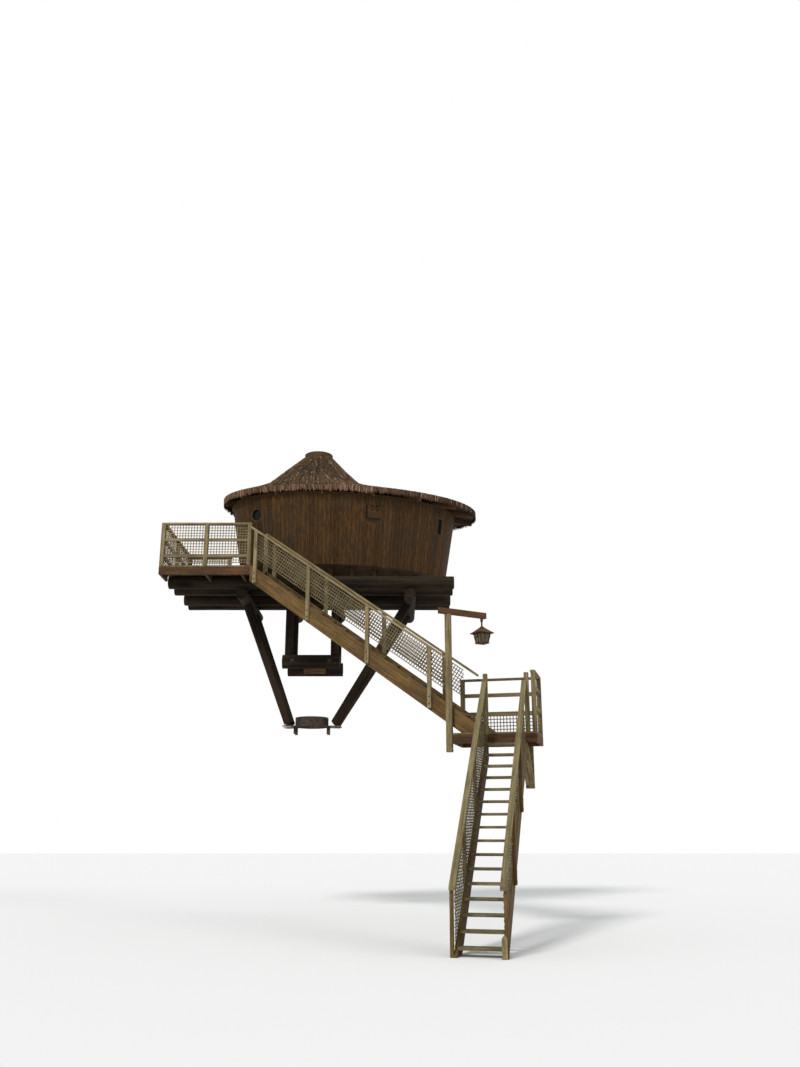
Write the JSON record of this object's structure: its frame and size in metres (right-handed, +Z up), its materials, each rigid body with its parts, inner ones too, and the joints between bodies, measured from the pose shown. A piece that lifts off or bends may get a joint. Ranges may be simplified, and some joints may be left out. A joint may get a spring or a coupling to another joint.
{
  "type": "tree house",
  "caption": "Oval boarded tree house under a thatched cap roof, clamped to a trunk on logs and braces, with a deck, a landing and steep lattice-sided flights.",
  "frame": {"origin": "centre of the front clamp pad's face, where it bears on the trunk", "axes": "+X to the right along the deck's front edge, +Y from the stair's side into the trunk, +Z up"},
  "size_m": [7.6971, 9.3767, 10.194],
  "materials": {
    "log": "dark weathered logs with remains of bark",
    "wall_board": "dark stained upright boards",
    "brown_timber": "orange-brown stained softwood",
    "red_timber": "reddish-brown stained softwood",
    "grey_timber": "weathered grey-green softwood",
    "thatch": "shaggy weathered thatch",
    "steel": "galvanised, dulled",
    "glass": "clear"
  },
  "bodies": {
    "frame": {"trunk_pads": "grey_timber", "yoke_front": "log", "yoke_rear": "log", "yoke_rods": "steel", "yoke_posts": "log", "brace_collar": "steel", "front_braces": "log", "rear_braces": "log", "bearer_logs": "log", "platform_logs": "log", "hut_joists": "log", "hut_floor": "brown_timber", "wall_left": "wall_board", "wall_front": "wall_board", "wall_front_right": "wall_board", "wall_right": "wall_board", "wall_rear_right": "wall_board", "wall_rear": "wall_board", "wall_rear_left": "wall_board", "wall_over_door": "wall_board", "door": "red_timber", "window_frames": "red_timber", "window_glass": "glass", "shutter": "wall_board", "wall_plate": "brown_timber", "rafters": "brown_timber", "roof_collar": "brown_timber", "thatch_front": "thatch", "thatch_right": "thatch", "thatch_rear": "thatch", "thatch_left": "thatch", "deck_frame": "red_timber", "deck_boards": "grey_timber", "deck_posts": "grey_timber", "deck_rails": "grey_timber", "deck_lattice": "grey_timber", "upper_stringers": "brown_timber", "upper_treads": "grey_timber", "upper_posts": "grey_timber", "upper_rails": "grey_timber", "upper_lattice": "grey_timber", "landing_frame": "red_timber", "landing_boards": "grey_timber", "landing_struts": "log", "landing_posts": "grey_timber", "landing_rails": "grey_timber", "landing_lattice": "grey_timber", "lower_stringers": "brown_timber", "lower_treads": "grey_timber", "lower_posts": "brown_timber", "lower_rails": "grey_timber", "lower_lattice": "grey_timber", "lantern_post": "brown_timber", "lantern_arm": "red_timber"},
    "lantern": {"lantern": "red_timber"}
  },
  "joints": [
    {"name": "lantern_swing", "type": "hinge", "parent": "frame", "child": "lantern", "pos_m": [3.47812, -3.13333, 0.285], "axis": [-0.5, 0.866, 0], "range_deg": [-30, 30]}
  ]
}
